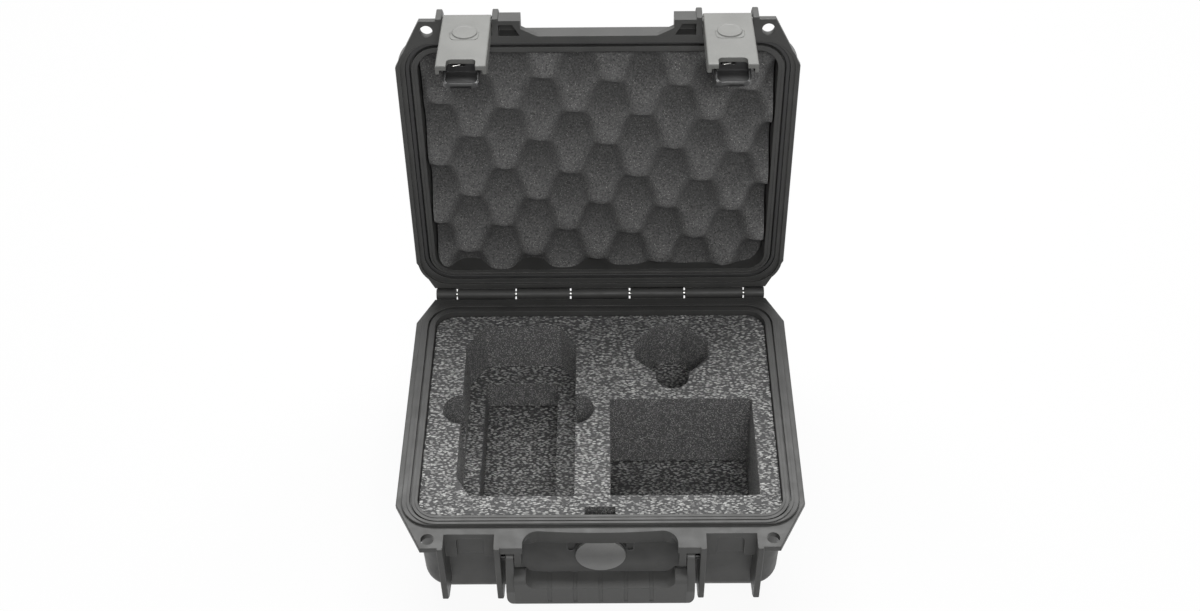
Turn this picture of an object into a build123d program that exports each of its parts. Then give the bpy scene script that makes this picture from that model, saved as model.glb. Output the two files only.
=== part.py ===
from build123d import *
import math
import os

os.makedirs("parts", exist_ok=True)

# Frame: X to the right, Y back to the hinge, Z up.
# The origin is under the middle of the inside, on the panel that the case stands on.
# The lid group is drawn closed and then turned about the hinge to the open rest pose.

# Inside of the case, at the rim
INNER_WIDTH = 242.0
INNER_DEPTH = 186.0
INNER_CORNER = 14.0
BASE_INNER_HEIGHT = 79.0
LID_INNER_HEIGHT = 26.0

# Moulded walls
WALL = 3.2
FLOOR = 4.0
OUTER_CORNER = 20.0
DRAFT = 1.5
INNER_BOTTOM_EDGE = 8.0
OUTER_BOTTOM_EDGE = 11.0
EDGE_ROUND = 0.7

# Flange around both halves
FLANGE_THICKNESS = 4.5
FLANGE_SIDE = 14.5
FLANGE_FRONT = 25.0
FLANGE_REAR = 15.7
FRONT_CHAMFER_X = 18.5
FRONT_CHAMFER_Y = 35.5
REAR_CHAMFER_X = 11.9
REAR_CHAMFER_Y = 24.2
PADLOCK_HOLE = 8.5
PADLOCK_FROM_FIN = 6.4
PADLOCK_FROM_FRONT = 7.5

# Raised sealing rim of the base and the recess for it in the lid
RIM_HEIGHT = 2.0
RIM_SIDE = 10.8
RIM_FRONT = 7.6
RIM_REAR = 11.2
RIM_CORNER = 21.0
RIM_PLAY = 0.6
INNER_LIP = 1.9
INNER_LIP_HEIGHT = 0.4
BASE_GROOVE_START = 4.1
BASE_GROOVE_WIDTH = 1.3
BASE_GROOVE_DEPTH = 2.0
RIDGE_WIDTH = 1.9
RIDGE_HEIGHT = 0.8
HALVES_GAP = 0.3
GASKET_GROOVE_START = 4.1
GASKET_GROOVE_WIDTH = 4.2
GASKET_GROOVE_DEPTH = 4.0
GASKET_WIDTH = 3.1
GASKET_ROUND = 0.7
LID_BEAD_SIDE = 2.6
LID_BEAD_TOP = 2.4

# Hinge
HINGE_BARREL = 8.4
HINGE_BARREL_GAP = 1.1
HINGE_PIN = 4.0
HINGE_PIN_INSET = 2.6
HINGE_END_INSET = 1.0
END_KNUCKLE = 15.3
INNER_SPLITS = (22.1, 63.1)
KNUCKLE_GAP = 1.3
KNUCKLE_WEB = 3.0
APRON_THICKNESS = 4.0
APRON_CLEARANCE = 0.45
APRON_SHORT_OF_AXIS = 1.0
LID_OPEN = 95.2

# Fits, and how far a cut or a join reaches past the face it meets
PRESS_PLAY = 0.02
RUNNING_PLAY = 0.06
PIN_INSET = 0.2
REACH = 1.0

# Guard fins and latch bays
FIN_FROM_SIDE = 29.5
FIN_THICKNESS = 4.0
FIN_REACH = 1.5
FIN_NOSE = 5.0
FIN_SLOPE = 6.0
BASE_FIN_HEIGHT = 60.0
LID_FIN_HEIGHT = 18.5
BAY_WIDTH = 33.0
BAND_FROM_FRONT = 11.2
BAND_HEIGHT = 24.0
BAY_RECESS_WIDTH = 18.0
BAY_RECESS_TOP = 2.5
BAY_RECESS_DEPTH = 3.0
BAY_RECESS_ROUND = 6.0

# Middle of the front
MIDDLE_DEPTH = 13.6
MIDDLE_CORNER = 10.0
MIDDLE_BOW_RADIUS = 526.0
MIDDLE_BOW = 1.6
MIDDLE_BAND_HEIGHT = 11.5
SHELF_THICKNESS = 6.5
EAR_SET_BACK = 1.0
EAR_THICKNESS = 4.5
EAR_HEIGHT = 21.0
LID_BLOCK_HEIGHT = 11.3
LID_MIDDLE_STEP = 11.0
LID_MIDDLE_DEPTH = 11.6
LID_MIDDLE_FLARE = 6.0
LID_MIDDLE_ROUND = 6.0
LID_POCKET_DEPTH = 8.0
LID_POCKET_WALL = 3.0
LID_POCKET_BACK_SIDE = 0.5
LID_POCKET_FRONT_SIDE = 5.3

# Latches, in the closed pose
LATCH_SIDE_PLAY = 0.5
LATCH_LENGTH = 62.5
LATCH_PLATE = 3.2
LATCH_FACE_INSET = 0.9
LATCH_CHEEK = 2.4
LATCH_CHEEK_DEPTH = 10.0
LATCH_END_DEPTH = 6.0
LATCH_END_SLOPE = 8.0
LATCH_TOP_SLOPE = 12.0
LATCH_ROLL = 9.0
LATCH_ROUND = 1.2
LATCH_PIN = 4.0
LATCH_PIN_HEIGHT = 6.2
NOTCH_WIDTH = 18.5
NOTCH_DEPTH = 8.0
NOTCH_ROUND = 3.0
BOSS_WIDTH = 16.0
BOSS_HEIGHT = 0.6
BOSS_DROP = 21.5
U_LINE_WIDTH = 19.0
U_LINE_ROUND = 4.0
U_LINE_GROOVE = 0.5
U_LINE_DEPTH = 0.3

# Triggers, in the closed pose
TRIGGER_SIDE_PLAY = 0.4
TRIGGER_WALL = 1.6
TRIGGER_PIN = 3.0
TRIGGER_PIN_DROP = 45.5
TRIGGER_PIN_BEHIND_FACE = 7.1
TRIGGER_HUB = 6.4
TRAY_WIDTH = 23.2
TRAY_BELOW_LATCH = 5.5
TRAY_HEIGHT = 18.5
TRAY_FRONT = 5.3
TRAY_DEPTH = 7.6
TRAY_LIP = 2.0
TRAY_ROUND = 5.0
HOOK_HEIGHT = 3.5
HOOK_BITE = 2.9
HOOK_RAMP = 2.4
HOOK_RAMP_DROP = 1.4
HOOK_ARM = 3.4
HOOK_ARM_PLAY = 0.7
SPRING_WIRE = 0.8
SPRING_OUTSIDE = 6.0
SPRING_INSIDE = 3.8
SPRING_LENGTH = 8.0
SPRING_LEFT_OF_MIDDLE = 2.6
SPRING_PLAY = 0.5
SPRING_LEG = 10.0
SPRING_LEG_INSET = 0.1
SPRING_TAIL = 5.0
SPRING_BEND = 1.0

# Handle
HANDLE_PIN = 4.0
HANDLE_PIN_BACK = 5.5
HANDLE_PIN_DROP = 17.0
ARM_INNER_PLAY = 0.8
ARM_OUTER_PLAY = 2.8
ARM_THICKNESS = 5.4
ARM_END_ROUND = 4.6
GRIP_FORWARD = 8.0
GRIP_THICKNESS = 13.5
GRIP_DROP = 17.0
GRIP_HEIGHT = 21.0
GRIP_SHOULDER = 9.0
GRIP_SHOULDER_WIDTH = 7.8
GRIP_ROUND = 5.0
GRIP_OPENING_CORNER = 7.5
HANDLE_CORNER = 11.0
GRIP_CORE_INSET = 3.5
CHANNEL_COUNT = 5
CHANNEL_PITCH = 16.8
CHANNEL_WIDTH = 2.4
CHANNEL_DEPTH = 0.4
CHANNEL_LOW = 6.0

# Pressure valve in the front wall
VALVE_DROP = 34.0
VALVE_CAP = 33.5
VALVE_CAP_HEIGHT = 3.4
VALVE_CAP_EDGE = 1.9
VALVE_FLANGE = 29.0
VALVE_FLANGE_THICKNESS = 1.2
VALVE_SEAL = 1.0
VALVE_SEAL_WIDTH = 4.5
VALVE_STEM = 12.0
VALVE_STEM_LENGTH = 11.4
VALVE_BORE = 7.0
VALVE_BOSS = 35.5
VALVE_BOSS_PROUD = 0.8
VALVE_PAD = 18.6
VALVE_PAD_PROUD = 0.6
NUT_ACROSS_FLATS = 16.0
NUT_THICKNESS = 4.0
MEMBRANE_THICKNESS = 0.4

# Foam: the layers, and the walls and sizes of the cut-outs
FOAM_GAP = 0.3
FOAM_BELOW_RIM = 4.0
FLOOR_PAD = 6.0
LOWER_LAYER = 27.0
FOAM_LEFT_WALL = 24.0
FOAM_RIGHT_WALL = 14.5
FOAM_FRONT_WALL = 19.0
FOAM_BACK_WALL = 11.0
LEFT_CUT_WIDTH = 79.5
LEFT_CUT_BACK_CHAMFER = (12.0, 19.0)
LEFT_CUT_FRONT_CHAMFER = (10.0, 16.0)
POCKET_LEFT_LEDGE = 12.0
POCKET_RIGHT_LEDGE = 14.5
POCKET_BACK_LEDGE = 17.3
SCOOP_RADIUS = 13.0
SCOOP_Y = 2.2
SCOOP_DEPTH = 36.0
OCTAGON_FROM_RIGHT = 69.4
OCTAGON_FROM_BACK = 35.0
OCTAGON_WIDTH = 53.0
OCTAGON_DEPTH = 51.5
OCTAGON_CHAMFER = 18.0
ROUND_CUT_RADIUS = 11.8
ROUND_CUT_FORWARD = 25.5
RIGHT_CUT_WIDTH = 99.5
RIGHT_CUT_DEPTH = 84.7
VALVE_NOTCH_WIDTH = 20.0
VALVE_NOTCH_DEPTH = 9.5
VALVE_NOTCH_PLAY = 1.0
LID_FOAM_BACKING = 10.0
LID_FOAM_GAP = 2.4
PEAK_PITCH_X = 46.5
PEAK_PITCH_Y = 25.6
PEAK_ROWS = 7
PEAK_COLUMNS = 6
PEAK_SHIFT = 4.4
PEAK_BOTTOM_RADIUS = 17.0
PEAK_TOP_RADIUS = 7.5
PEAK_HEIGHT = 12.0

# Top of the lid, and the panel under the base that nests inside its border
LID_PANEL = 3.5
LID_BORDER_WIDTH = 12.0
LID_BORDER_INSET = 5.0
LID_BORDER_HEIGHT = 4.9
LID_TOP_EDGE = 6.0
REST_HEIGHT = 3.0
REST_PLAY = 4.0

# Places that follow from the sizes above
FLOOR_Z = REST_HEIGHT + FLOOR
FLANGE_Z = FLOOR_Z + BASE_INNER_HEIGHT
RIM_Z = FLANGE_Z + RIM_HEIGHT
LID_Z = FLANGE_Z + HALVES_GAP
LAND_Z = RIM_Z + HALVES_GAP
CEILING_Z = LAND_Z + LID_INNER_HEIGHT
PANEL_Z = CEILING_Z + LID_PANEL
SIDE_X = INNER_WIDTH / 2 + FLANGE_SIDE
WALL_Y = -INNER_DEPTH / 2
FRONT_Y = WALL_Y - FLANGE_FRONT
REAR_Y = INNER_DEPTH / 2 + FLANGE_REAR
HINGE_Y = REAR_Y + HINGE_BARREL_GAP + HINGE_BARREL / 2
HINGE_Z = FLANGE_Z + HALVES_GAP / 2
HINGE_AXIS = Axis((0, HINGE_Y, HINGE_Z), (1, 0, 0))
HINGE_END = SIDE_X - REAR_CHAMFER_X - HINGE_END_INSET
HINGE_PIN_END = HINGE_END - HINGE_PIN_INSET
KNUCKLE_SPLITS = INNER_SPLITS + (HINGE_END - END_KNUCKLE,)
FIN_END = SIDE_X - FIN_FROM_SIDE
FIN_OUTER = FIN_END - FIN_THICKNESS
BAY_START = FIN_OUTER - BAY_WIDTH
BAY_CENTRE = BAY_START + BAY_WIDTH / 2
FIN_INNER = BAY_START - FIN_THICKNESS
ARM_START = FIN_INNER - ARM_OUTER_PLAY - ARM_THICKNESS
EAR_START = ARM_START - ARM_INNER_PLAY - EAR_THICKNESS
MIDDLE_HALF = EAR_START - EAR_SET_BACK
LID_MIDDLE_HALF = MIDDLE_HALF - LID_MIDDLE_STEP
FIN_FRONT = FRONT_Y - FIN_REACH
BAND_Y = FRONT_Y + BAND_FROM_FRONT
BAND_LOW = FLANGE_Z - BAND_HEIGHT
PADLOCK_X = FIN_END + PADLOCK_FROM_FIN
PADLOCK_Y = FRONT_Y + PADLOCK_FROM_FRONT
LATCH_WIDTH = BAY_WIDTH - 2 * LATCH_SIDE_PLAY
LATCH_FACE = FIN_FRONT + LATCH_FACE_INSET
LATCH_PIN_Y = LATCH_FACE + LATCH_ROLL / 2
LATCH_PIN_Z = LID_Z + LATCH_PIN_HEIGHT
LATCH_LOW = LATCH_PIN_Z - LATCH_LENGTH
BOSS_Z = LATCH_PIN_Z - BOSS_DROP
TRIGGER_WIDTH = LATCH_WIDTH - 2 * LATCH_CHEEK - 2 * TRIGGER_SIDE_PLAY
TRIGGER_PIN_Y = LATCH_FACE + TRIGGER_PIN_BEHIND_FACE
TRIGGER_PIN_Z = LATCH_PIN_Z - TRIGGER_PIN_DROP
TRAY_LOW = LATCH_LOW - TRAY_BELOW_LATCH
TRAY_TOP = TRAY_LOW + TRAY_HEIGHT
HANDLE_PIN_Y = FRONT_Y + HANDLE_PIN_BACK
HANDLE_PIN_Z = FLANGE_Z - HANDLE_PIN_DROP
GRIP_TOP = HANDLE_PIN_Z - GRIP_DROP
GRIP_LOW = GRIP_TOP - GRIP_HEIGHT
GRIP_FRONT_Y = FRONT_Y - GRIP_FORWARD
GRIP_BACK_Y = GRIP_FRONT_Y + GRIP_THICKNESS
VALVE_Z = FLANGE_Z - VALVE_DROP
VALVE_FACE_Y = WALL_Y - WALL - VALVE_BOSS_PROUD
VALVE_LEAN = (VALVE_DROP + VALVE_PAD / 2) * math.tan(math.radians(DRAFT))
VALVE_PAD_Y = WALL_Y + VALVE_LEAN + VALVE_PAD_PROUD
NUT_CORNER = NUT_ACROSS_FLATS / 2 / math.cos(math.radians(30))
FOAM_TOP = RIM_Z - FOAM_BELOW_RIM
PAD_TOP = FLOOR_Z + FOAM_GAP + FLOOR_PAD
LOWER_TOP = PAD_TOP + LOWER_LAYER
LEFT_CUT_START = -INNER_WIDTH / 2 + FOAM_LEFT_WALL
LEFT_CUT_END = LEFT_CUT_START + LEFT_CUT_WIDTH
RIGHT_CUT_END = INNER_WIDTH / 2 - FOAM_RIGHT_WALL
CUT_FRONT = WALL_Y + FOAM_FRONT_WALL
CUT_BACK = INNER_DEPTH / 2 - FOAM_BACK_WALL


def block(x0, x1, y0, y1, z0, z1):
    """A straight block between two corners."""
    middle = Pos((x0 + x1) / 2, (y0 + y1) / 2, (z0 + z1) / 2)
    return middle * Box(x1 - x0, y1 - y0, z1 - z0)


def both_sides(piece):
    """The piece and its mirror image left of the middle."""
    return piece + mirror(piece, about=Plane.YZ)


def rod(x0, x1, y, z, diameter):
    """A round rod along X."""
    turned = Cylinder(diameter / 2, x1 - x0).rotate(Axis.Y, 90)
    return Pos((x0 + x1) / 2, y, z) * turned


def plug(y0, y1, z, diameter):
    """A round plug along Y in the middle of the front."""
    turned = Cylinder(diameter / 2, y1 - y0).rotate(Axis.X, 90)
    return Pos(0, (y0 + y1) / 2, z) * turned


def plate(points, x0, x1):
    """A plate of an outline in Y and Z, from x0 to x1."""
    outline = make_face(Polyline(*[(0, y, z) for y, z in points], close=True))
    return Pos(x0, 0, 0) * extrude(outline, amount=x1 - x0, dir=(1, 0, 0))


def prism(points, z0, z1):
    """An upright prism of an outline in X and Y."""
    face = make_face(Polyline(*[(x, y, z0) for x, y in points], close=True))
    return extrude(face, amount=z1 - z0, dir=(0, 0, 1))


def rim_face(offset, z):
    """The inside outline at the rim, grown outwards by an offset."""
    width = INNER_WIDTH + 2 * offset
    depth = INNER_DEPTH + 2 * offset
    return Pos(0, 0, z) * RectangleRounded(width, depth, INNER_CORNER + offset)


def rim_ring(start, stop, z0, z1):
    """A ring that follows the rim, between two offsets from the inside."""
    face = rim_face(stop, z0) - rim_face(start, z0)
    return extrude(face, amount=z1 - z0, dir=(0, 0, 1))


def rim_plateau(play, z0, z1):
    """The raised sealing rim as one slab."""
    width = INNER_WIDTH + 2 * (RIM_SIDE + play)
    depth = INNER_DEPTH + RIM_FRONT + RIM_REAR + 2 * play
    middle = Pos(0, (RIM_REAR - RIM_FRONT) / 2, z0)
    face = middle * RectangleRounded(width, depth, RIM_CORNER + play)
    return extrude(face, amount=z1 - z0, dir=(0, 0, 1))


def soft_top(piece, radius):
    """The piece with the edges of its top face rounded."""
    return fillet(piece.edges().group_by(Axis.Z)[-1], radius)


def tub(width, depth, corner, z_wide, z_narrow, edge):
    """A drafted block that narrows from z_wide to z_narrow, with a rounded end edge."""
    way = 1 if z_narrow > z_wide else -1
    face = Pos(0, 0, z_wide) * RectangleRounded(width, depth, corner)
    body = extrude(face, amount=abs(z_narrow - z_wide), dir=(0, 0, way), taper=DRAFT)
    end = body.edges().group_by(Axis.Z)[0 if way < 0 else -1]
    return fillet(end, edge)


def base_inside(gap):
    """The room inside the base, less a gap all round."""
    width = INNER_WIDTH - 2 * gap
    depth = INNER_DEPTH - 2 * gap
    edge = INNER_BOTTOM_EDGE - gap
    body = tub(width, depth, INNER_CORNER - gap, FLANGE_Z, FLOOR_Z + gap, edge)
    if gap:
        return body
    return body + extrude(rim_face(0, FLANGE_Z), amount=RIM_HEIGHT + INNER_LIP_HEIGHT, dir=(0, 0, 1))


def lid_inside(gap):
    """The room inside the closed lid, less a gap all round."""
    width = INNER_WIDTH - 2 * gap
    depth = INNER_DEPTH - 2 * gap
    edge = INNER_BOTTOM_EDGE - gap
    body = tub(width, depth, INNER_CORNER - gap, LAND_Z, CEILING_Z - gap, edge)
    if gap:
        return body
    return body + extrude(rim_face(0, LID_Z), amount=LAND_Z - LID_Z, dir=(0, 0, 1))


def flange_plate(z0, z1):
    """The flange with its chamfered corners."""
    outline = [
        (SIDE_X - FRONT_CHAMFER_X, FRONT_Y),
        (SIDE_X, FRONT_Y + FRONT_CHAMFER_Y),
        (SIDE_X, REAR_Y - REAR_CHAMFER_Y),
        (SIDE_X - REAR_CHAMFER_X, REAR_Y),
    ]
    body = prism(outline + [(-x, y) for x, y in reversed(outline)], z0, z1)
    layers = body.edges().group_by(Axis.Z)
    return fillet(layers[0] + layers[-1], EDGE_ROUND)


def padlock_holes(z0, z1):
    """The two padlock holes through the front corners."""
    hole = Cylinder(PADLOCK_HOLE / 2, z1 - z0)
    return both_sides(Pos(PADLOCK_X, PADLOCK_Y, (z0 + z1) / 2) * hole)


def bay_cuts(z0, z1):
    """The room for the latches in front of the flange."""
    return both_sides(block(BAY_START, FIN_OUTER, FIN_FRONT - REACH, BAND_Y, z0, z1))


def fins(seam, height, way):
    """The four guard fins beside the latches, from the seam up or down."""
    tip = seam + way * height
    points = [
        (WALL_Y, seam),
        (FIN_FRONT, seam),
        (FIN_FRONT, tip - way * FIN_NOSE),
        (FIN_FRONT + FIN_NOSE, tip),
        (WALL_Y, tip + way * FIN_SLOPE),
    ]
    inner = fillet(plate(points, FIN_INNER, BAY_START).edges(), EDGE_ROUND)
    outer = fillet(plate(points, FIN_OUTER, FIN_END).edges(), EDGE_ROUND)
    return both_sides(inner + outer)


def knuckle_spans(first):
    """Where the knuckles of one half lie along the hinge, right of the middle."""
    ends = [-KNUCKLE_SPLITS[0]] + list(KNUCKLE_SPLITS) + [HINGE_END + KNUCKLE_GAP / 2]
    spans = list(zip(ends[:-1], ends[1:]))[first::2]
    return [(a + KNUCKLE_GAP / 2, b - KNUCKLE_GAP / 2) for a, b in spans]


def knuckles(first, web_low, web_high, play):
    """Hinge barrels with the webs that carry them."""
    parts = []
    for x0, x1 in knuckle_spans(first):
        barrel = rod(x0, x1, HINGE_Y, HINGE_Z, HINGE_BARREL)
        web = block(x0, x1, INNER_DEPTH / 2 + WALL, HINGE_Y, web_low, web_high)
        parts.append(both_sides(barrel + web))
    body = Part() + parts
    return body - rod(-HINGE_END, HINGE_END, HINGE_Y, HINGE_Z, HINGE_PIN + 2 * play)


def apron(x_end, z0, z1):
    """The lip under the hinge barrels that closes the gap beside them."""
    stop = HINGE_Y - APRON_SHORT_OF_AXIS
    return block(-x_end, x_end, INNER_DEPTH / 2, stop, z0, z1)


def border_inside(play):
    """The field inside the raised border of the lid, less a play all round."""
    inset = 2 * (LID_BORDER_INSET + LID_BORDER_WIDTH + play)
    return RectangleRounded(INNER_WIDTH - inset, INNER_DEPTH - inset, INNER_CORNER - play)


def base_outer():
    """Outside form of the base, before it is hollowed."""
    width = INNER_WIDTH + 2 * WALL
    depth = INNER_DEPTH + 2 * WALL
    body = tub(width, depth, OUTER_CORNER, FLANGE_Z, REST_HEIGHT, OUTER_BOTTOM_EDGE)
    return body + extrude(border_inside(REST_PLAY), amount=REST_HEIGHT + REACH)


def middle_cut(z0, z1):
    """The hand room in the middle of the base flange, with its gently bowed back edge."""
    back = FRONT_Y + MIDDLE_DEPTH
    face = Pos(0, back - FLANGE_FRONT / 2) * Rectangle(2 * MIDDLE_HALF, FLANGE_FRONT)
    face = fillet(face.vertices().group_by(Axis.Y)[-1], MIDDLE_CORNER)
    bow = Pos(0, back - MIDDLE_BOW + MIDDLE_BOW_RADIUS) * Circle(MIDDLE_BOW_RADIUS)
    return Pos(0, 0, z0) * extrude(face - bow, amount=z1 - z0)


def bay_recess():
    """The arched recess in each latch bay of the base."""
    height = BAND_HEIGHT - BAY_RECESS_TOP
    face = Pos(0, BAND_LOW + height / 2) * Rectangle(BAY_RECESS_WIDTH, height)
    face = fillet(face.vertices().group_by(Axis.Y)[-1], BAY_RECESS_ROUND)
    cut = extrude(Plane.XZ * face, amount=BAY_RECESS_DEPTH + REACH, dir=(0, 1, 0))
    return both_sides(Pos(BAY_CENTRE, BAND_Y - REACH, 0) * cut)


def base_front():
    """Latch bays, fins and ears on the front of the base."""
    top = FLANGE_Z
    band = block(FIN_INNER, FIN_END, BAND_Y, WALL_Y, BAND_LOW, top)
    ear = block(EAR_START, EAR_START + EAR_THICKNESS, FRONT_Y, WALL_Y, top - EAR_HEIGHT, top)
    shelf = block(MIDDLE_HALF, BAY_START, FRONT_Y, WALL_Y, top - SHELF_THICKNESS, top)
    middle_y = FRONT_Y + MIDDLE_DEPTH - MIDDLE_BOW
    middle = block(-FIN_INNER, FIN_INNER, middle_y, WALL_Y, top - MIDDLE_BAND_HEIGHT, top)
    walls = both_sides(band + ear + shelf) + middle
    return walls + fins(top, BASE_FIN_HEIGHT, -1) - bay_recess()


def handle_bores():
    """Holes for the handle pins in the ears and the inner fins."""
    diameter = HANDLE_PIN + 2 * PRESS_PLAY
    return both_sides(rod(EAR_START - REACH, BAY_START + REACH, HANDLE_PIN_Y, HANDLE_PIN_Z, diameter))


def base_shell():
    """Lower half of the case."""
    body = base_outer()
    body += flange_plate(FLANGE_Z - FLANGE_THICKNESS, FLANGE_Z)
    body += soft_top(rim_plateau(0, FLANGE_Z - REACH, RIM_Z), EDGE_ROUND)
    body += base_front()
    apron_top = HINGE_Z - HINGE_BARREL / 2 - APRON_CLEARANCE
    body += apron(HINGE_END, apron_top - APRON_THICKNESS, apron_top)
    body += knuckles(1, apron_top - REACH, apron_top + KNUCKLE_WEB, RUNNING_PLAY)
    body -= middle_cut(FLANGE_Z - EAR_HEIGHT - REACH, FLANGE_Z + REACH)
    body -= bay_cuts(BAND_LOW - REACH, FLANGE_Z + REACH)
    body -= padlock_holes(FLANGE_Z - FLANGE_THICKNESS - REACH, FLANGE_Z + REACH)
    lip = rim_ring(0, INNER_LIP, RIM_Z - REACH, RIM_Z + INNER_LIP_HEIGHT)
    groove_end = BASE_GROOVE_START + BASE_GROOVE_WIDTH
    ridge = rim_ring(groove_end, groove_end + RIDGE_WIDTH, RIM_Z - REACH, RIM_Z + RIDGE_HEIGHT)
    groove = rim_ring(BASE_GROOVE_START, groove_end, RIM_Z - BASE_GROOVE_DEPTH, RIM_Z + REACH)
    body = body + lip + ridge - groove
    body += plug(VALVE_FACE_Y, WALL_Y, VALVE_Z, VALVE_BOSS)
    body -= base_inside(0)
    body += plug(WALL_Y - WALL / 2, VALVE_PAD_Y, VALVE_Z, VALVE_PAD)
    body -= plug(VALVE_FACE_Y - REACH, VALVE_PAD_Y + REACH, VALVE_Z, VALVE_STEM + 2 * PRESS_PLAY)
    return body - handle_bores()


def lid_top():
    """Raised border on top of the lid."""
    width = INNER_WIDTH - 2 * LID_BORDER_INSET
    depth = INNER_DEPTH - 2 * LID_BORDER_INSET
    face = RectangleRounded(width, depth, OUTER_CORNER) - border_inside(0)
    border = extrude(face, amount=LID_BORDER_HEIGHT + REACH, dir=(0, 0, 1))
    return Pos(0, 0, PANEL_Z - REACH) * soft_top(border, EDGE_ROUND)


def lid_front():
    """Fins, latch bays and cored blocks on the front of the lid, closed pose."""
    top = LID_Z + LID_BLOCK_HEIGHT
    band = block(FIN_INNER, FIN_END, BAND_Y, WALL_Y, LID_Z, top)
    side = block(MIDDLE_HALF, FIN_INNER, FRONT_Y, WALL_Y, LID_Z, top)
    middle = block(-FIN_INNER, FIN_INNER, FRONT_Y + LID_MIDDLE_DEPTH, WALL_Y, LID_Z, top)
    return both_sides(band + side) + middle + fins(LID_Z, LID_FIN_HEIGHT, 1)


def lid_middle_cut(z0, z1):
    """The hand room in the middle of the lid flange."""
    points = [
        (MIDDLE_HALF, FRONT_Y - REACH),
        (MIDDLE_HALF, FRONT_Y + LID_MIDDLE_FLARE),
        (LID_MIDDLE_HALF, FRONT_Y + LID_MIDDLE_DEPTH),
    ]
    body = prism(points + [(-x, y) for x, y in reversed(points)], z0, z1)
    corners = body.edges().filter_by(Axis.Z).group_by(Axis.Y)[-1]
    return fillet(corners, LID_MIDDLE_ROUND)


def lid_pockets():
    """The two cored pockets in the front blocks, open towards the rim."""
    front = FRONT_Y + LID_POCKET_WALL
    points = [
        (FIN_INNER, front),
        (FIN_INNER, BAND_Y),
        (MIDDLE_HALF + LID_POCKET_BACK_SIDE, BAND_Y),
        (MIDDLE_HALF + LID_POCKET_FRONT_SIDE, front),
    ]
    return both_sides(prism(points, LID_Z - REACH, LID_Z + LID_POCKET_DEPTH))


def latch_bores():
    """Holes for the latch pins in the fins of the lid."""
    diameter = LATCH_PIN + 2 * PRESS_PLAY
    return both_sides(rod(FIN_INNER - REACH, FIN_END + REACH, LATCH_PIN_Y, LATCH_PIN_Z, diameter))


def lid_closed():
    """Upper half of the case, in the closed pose."""
    width = INNER_WIDTH + 2 * WALL
    depth = INNER_DEPTH + 2 * WALL
    groove_top = LAND_Z + GASKET_GROOVE_DEPTH
    body = tub(width, depth, OUTER_CORNER, LID_Z, PANEL_Z, LID_TOP_EDGE)
    body += lid_top()
    body += flange_plate(LID_Z, LID_Z + FLANGE_THICKNESS)
    body += soft_top(rim_plateau(LID_BEAD_SIDE, LID_Z, groove_top + LID_BEAD_TOP), LID_BEAD_TOP / 2)
    body += lid_front()
    apron_low = HINGE_Z + HINGE_BARREL / 2 + APRON_CLEARANCE
    body += apron(HINGE_END, apron_low, apron_low + APRON_THICKNESS)
    body += knuckles(0, apron_low - KNUCKLE_WEB, apron_low + REACH, RUNNING_PLAY)
    body -= lid_middle_cut(LID_Z - REACH, LID_Z + LID_BLOCK_HEIGHT + REACH)
    body -= bay_cuts(LID_Z - REACH, LID_Z + LID_FIN_HEIGHT)
    body -= padlock_holes(LID_Z - REACH, LID_Z + FLANGE_THICKNESS + REACH)
    body -= lid_pockets()
    body -= rim_plateau(RIM_PLAY, LID_Z - REACH, LAND_Z)
    body -= rim_ring(0, INNER_LIP + RIM_PLAY, LID_Z, LAND_Z + INNER_LIP_HEIGHT)
    groove_end = GASKET_GROOVE_START + GASKET_GROOVE_WIDTH
    body -= rim_ring(GASKET_GROOVE_START, groove_end, LID_Z, groove_top)
    body -= lid_inside(0)
    return body - latch_bores()


def gasket_closed():
    """Seal strip in the groove of the lid."""
    stop = GASKET_GROOVE_START + GASKET_GROOVE_WIDTH
    low = RIM_Z + RIDGE_HEIGHT + HALVES_GAP
    ring = rim_ring(stop - GASKET_WIDTH, stop, low, LAND_Z + GASKET_GROOVE_DEPTH)
    edges = ring.edges().group_by(Axis.Z)[0]
    return fillet(edges, GASKET_ROUND)


def lid_foam_closed():
    """Convoluted foam in the lid: a backing with rows of peaks."""
    top = CEILING_Z - FOAM_GAP
    slab = block(-INNER_WIDTH, INNER_WIDTH, -INNER_DEPTH, INNER_DEPTH, top - LID_FOAM_BACKING, top)
    cone = Cone(PEAK_TOP_RADIUS, PEAK_BOTTOM_RADIUS, PEAK_HEIGHT + REACH)
    middle_z = top - LID_FOAM_BACKING - (PEAK_HEIGHT - REACH) / 2
    peaks = []
    for row in range(PEAK_ROWS):
        y = (row - (PEAK_ROWS - 1) / 2) * PEAK_PITCH_Y
        shift = PEAK_SHIFT if row % 2 else PEAK_SHIFT + PEAK_PITCH_X / 2
        for column in range(PEAK_COLUMNS):
            x = (column - (PEAK_COLUMNS - 1) / 2) * PEAK_PITCH_X + shift
            peaks.append(Pos(x, y, middle_z) * cone)
    return (lid_inside(FOAM_GAP) & slab) + (Part() + peaks & lid_inside(LID_FOAM_GAP))


def foam_layer(z0, z1):
    """One layer of the base foam, fitted to the room inside."""
    slab = block(-INNER_WIDTH, INNER_WIDTH, -INNER_DEPTH, INNER_DEPTH, z0, z1)
    return base_inside(FOAM_GAP) & slab


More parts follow.
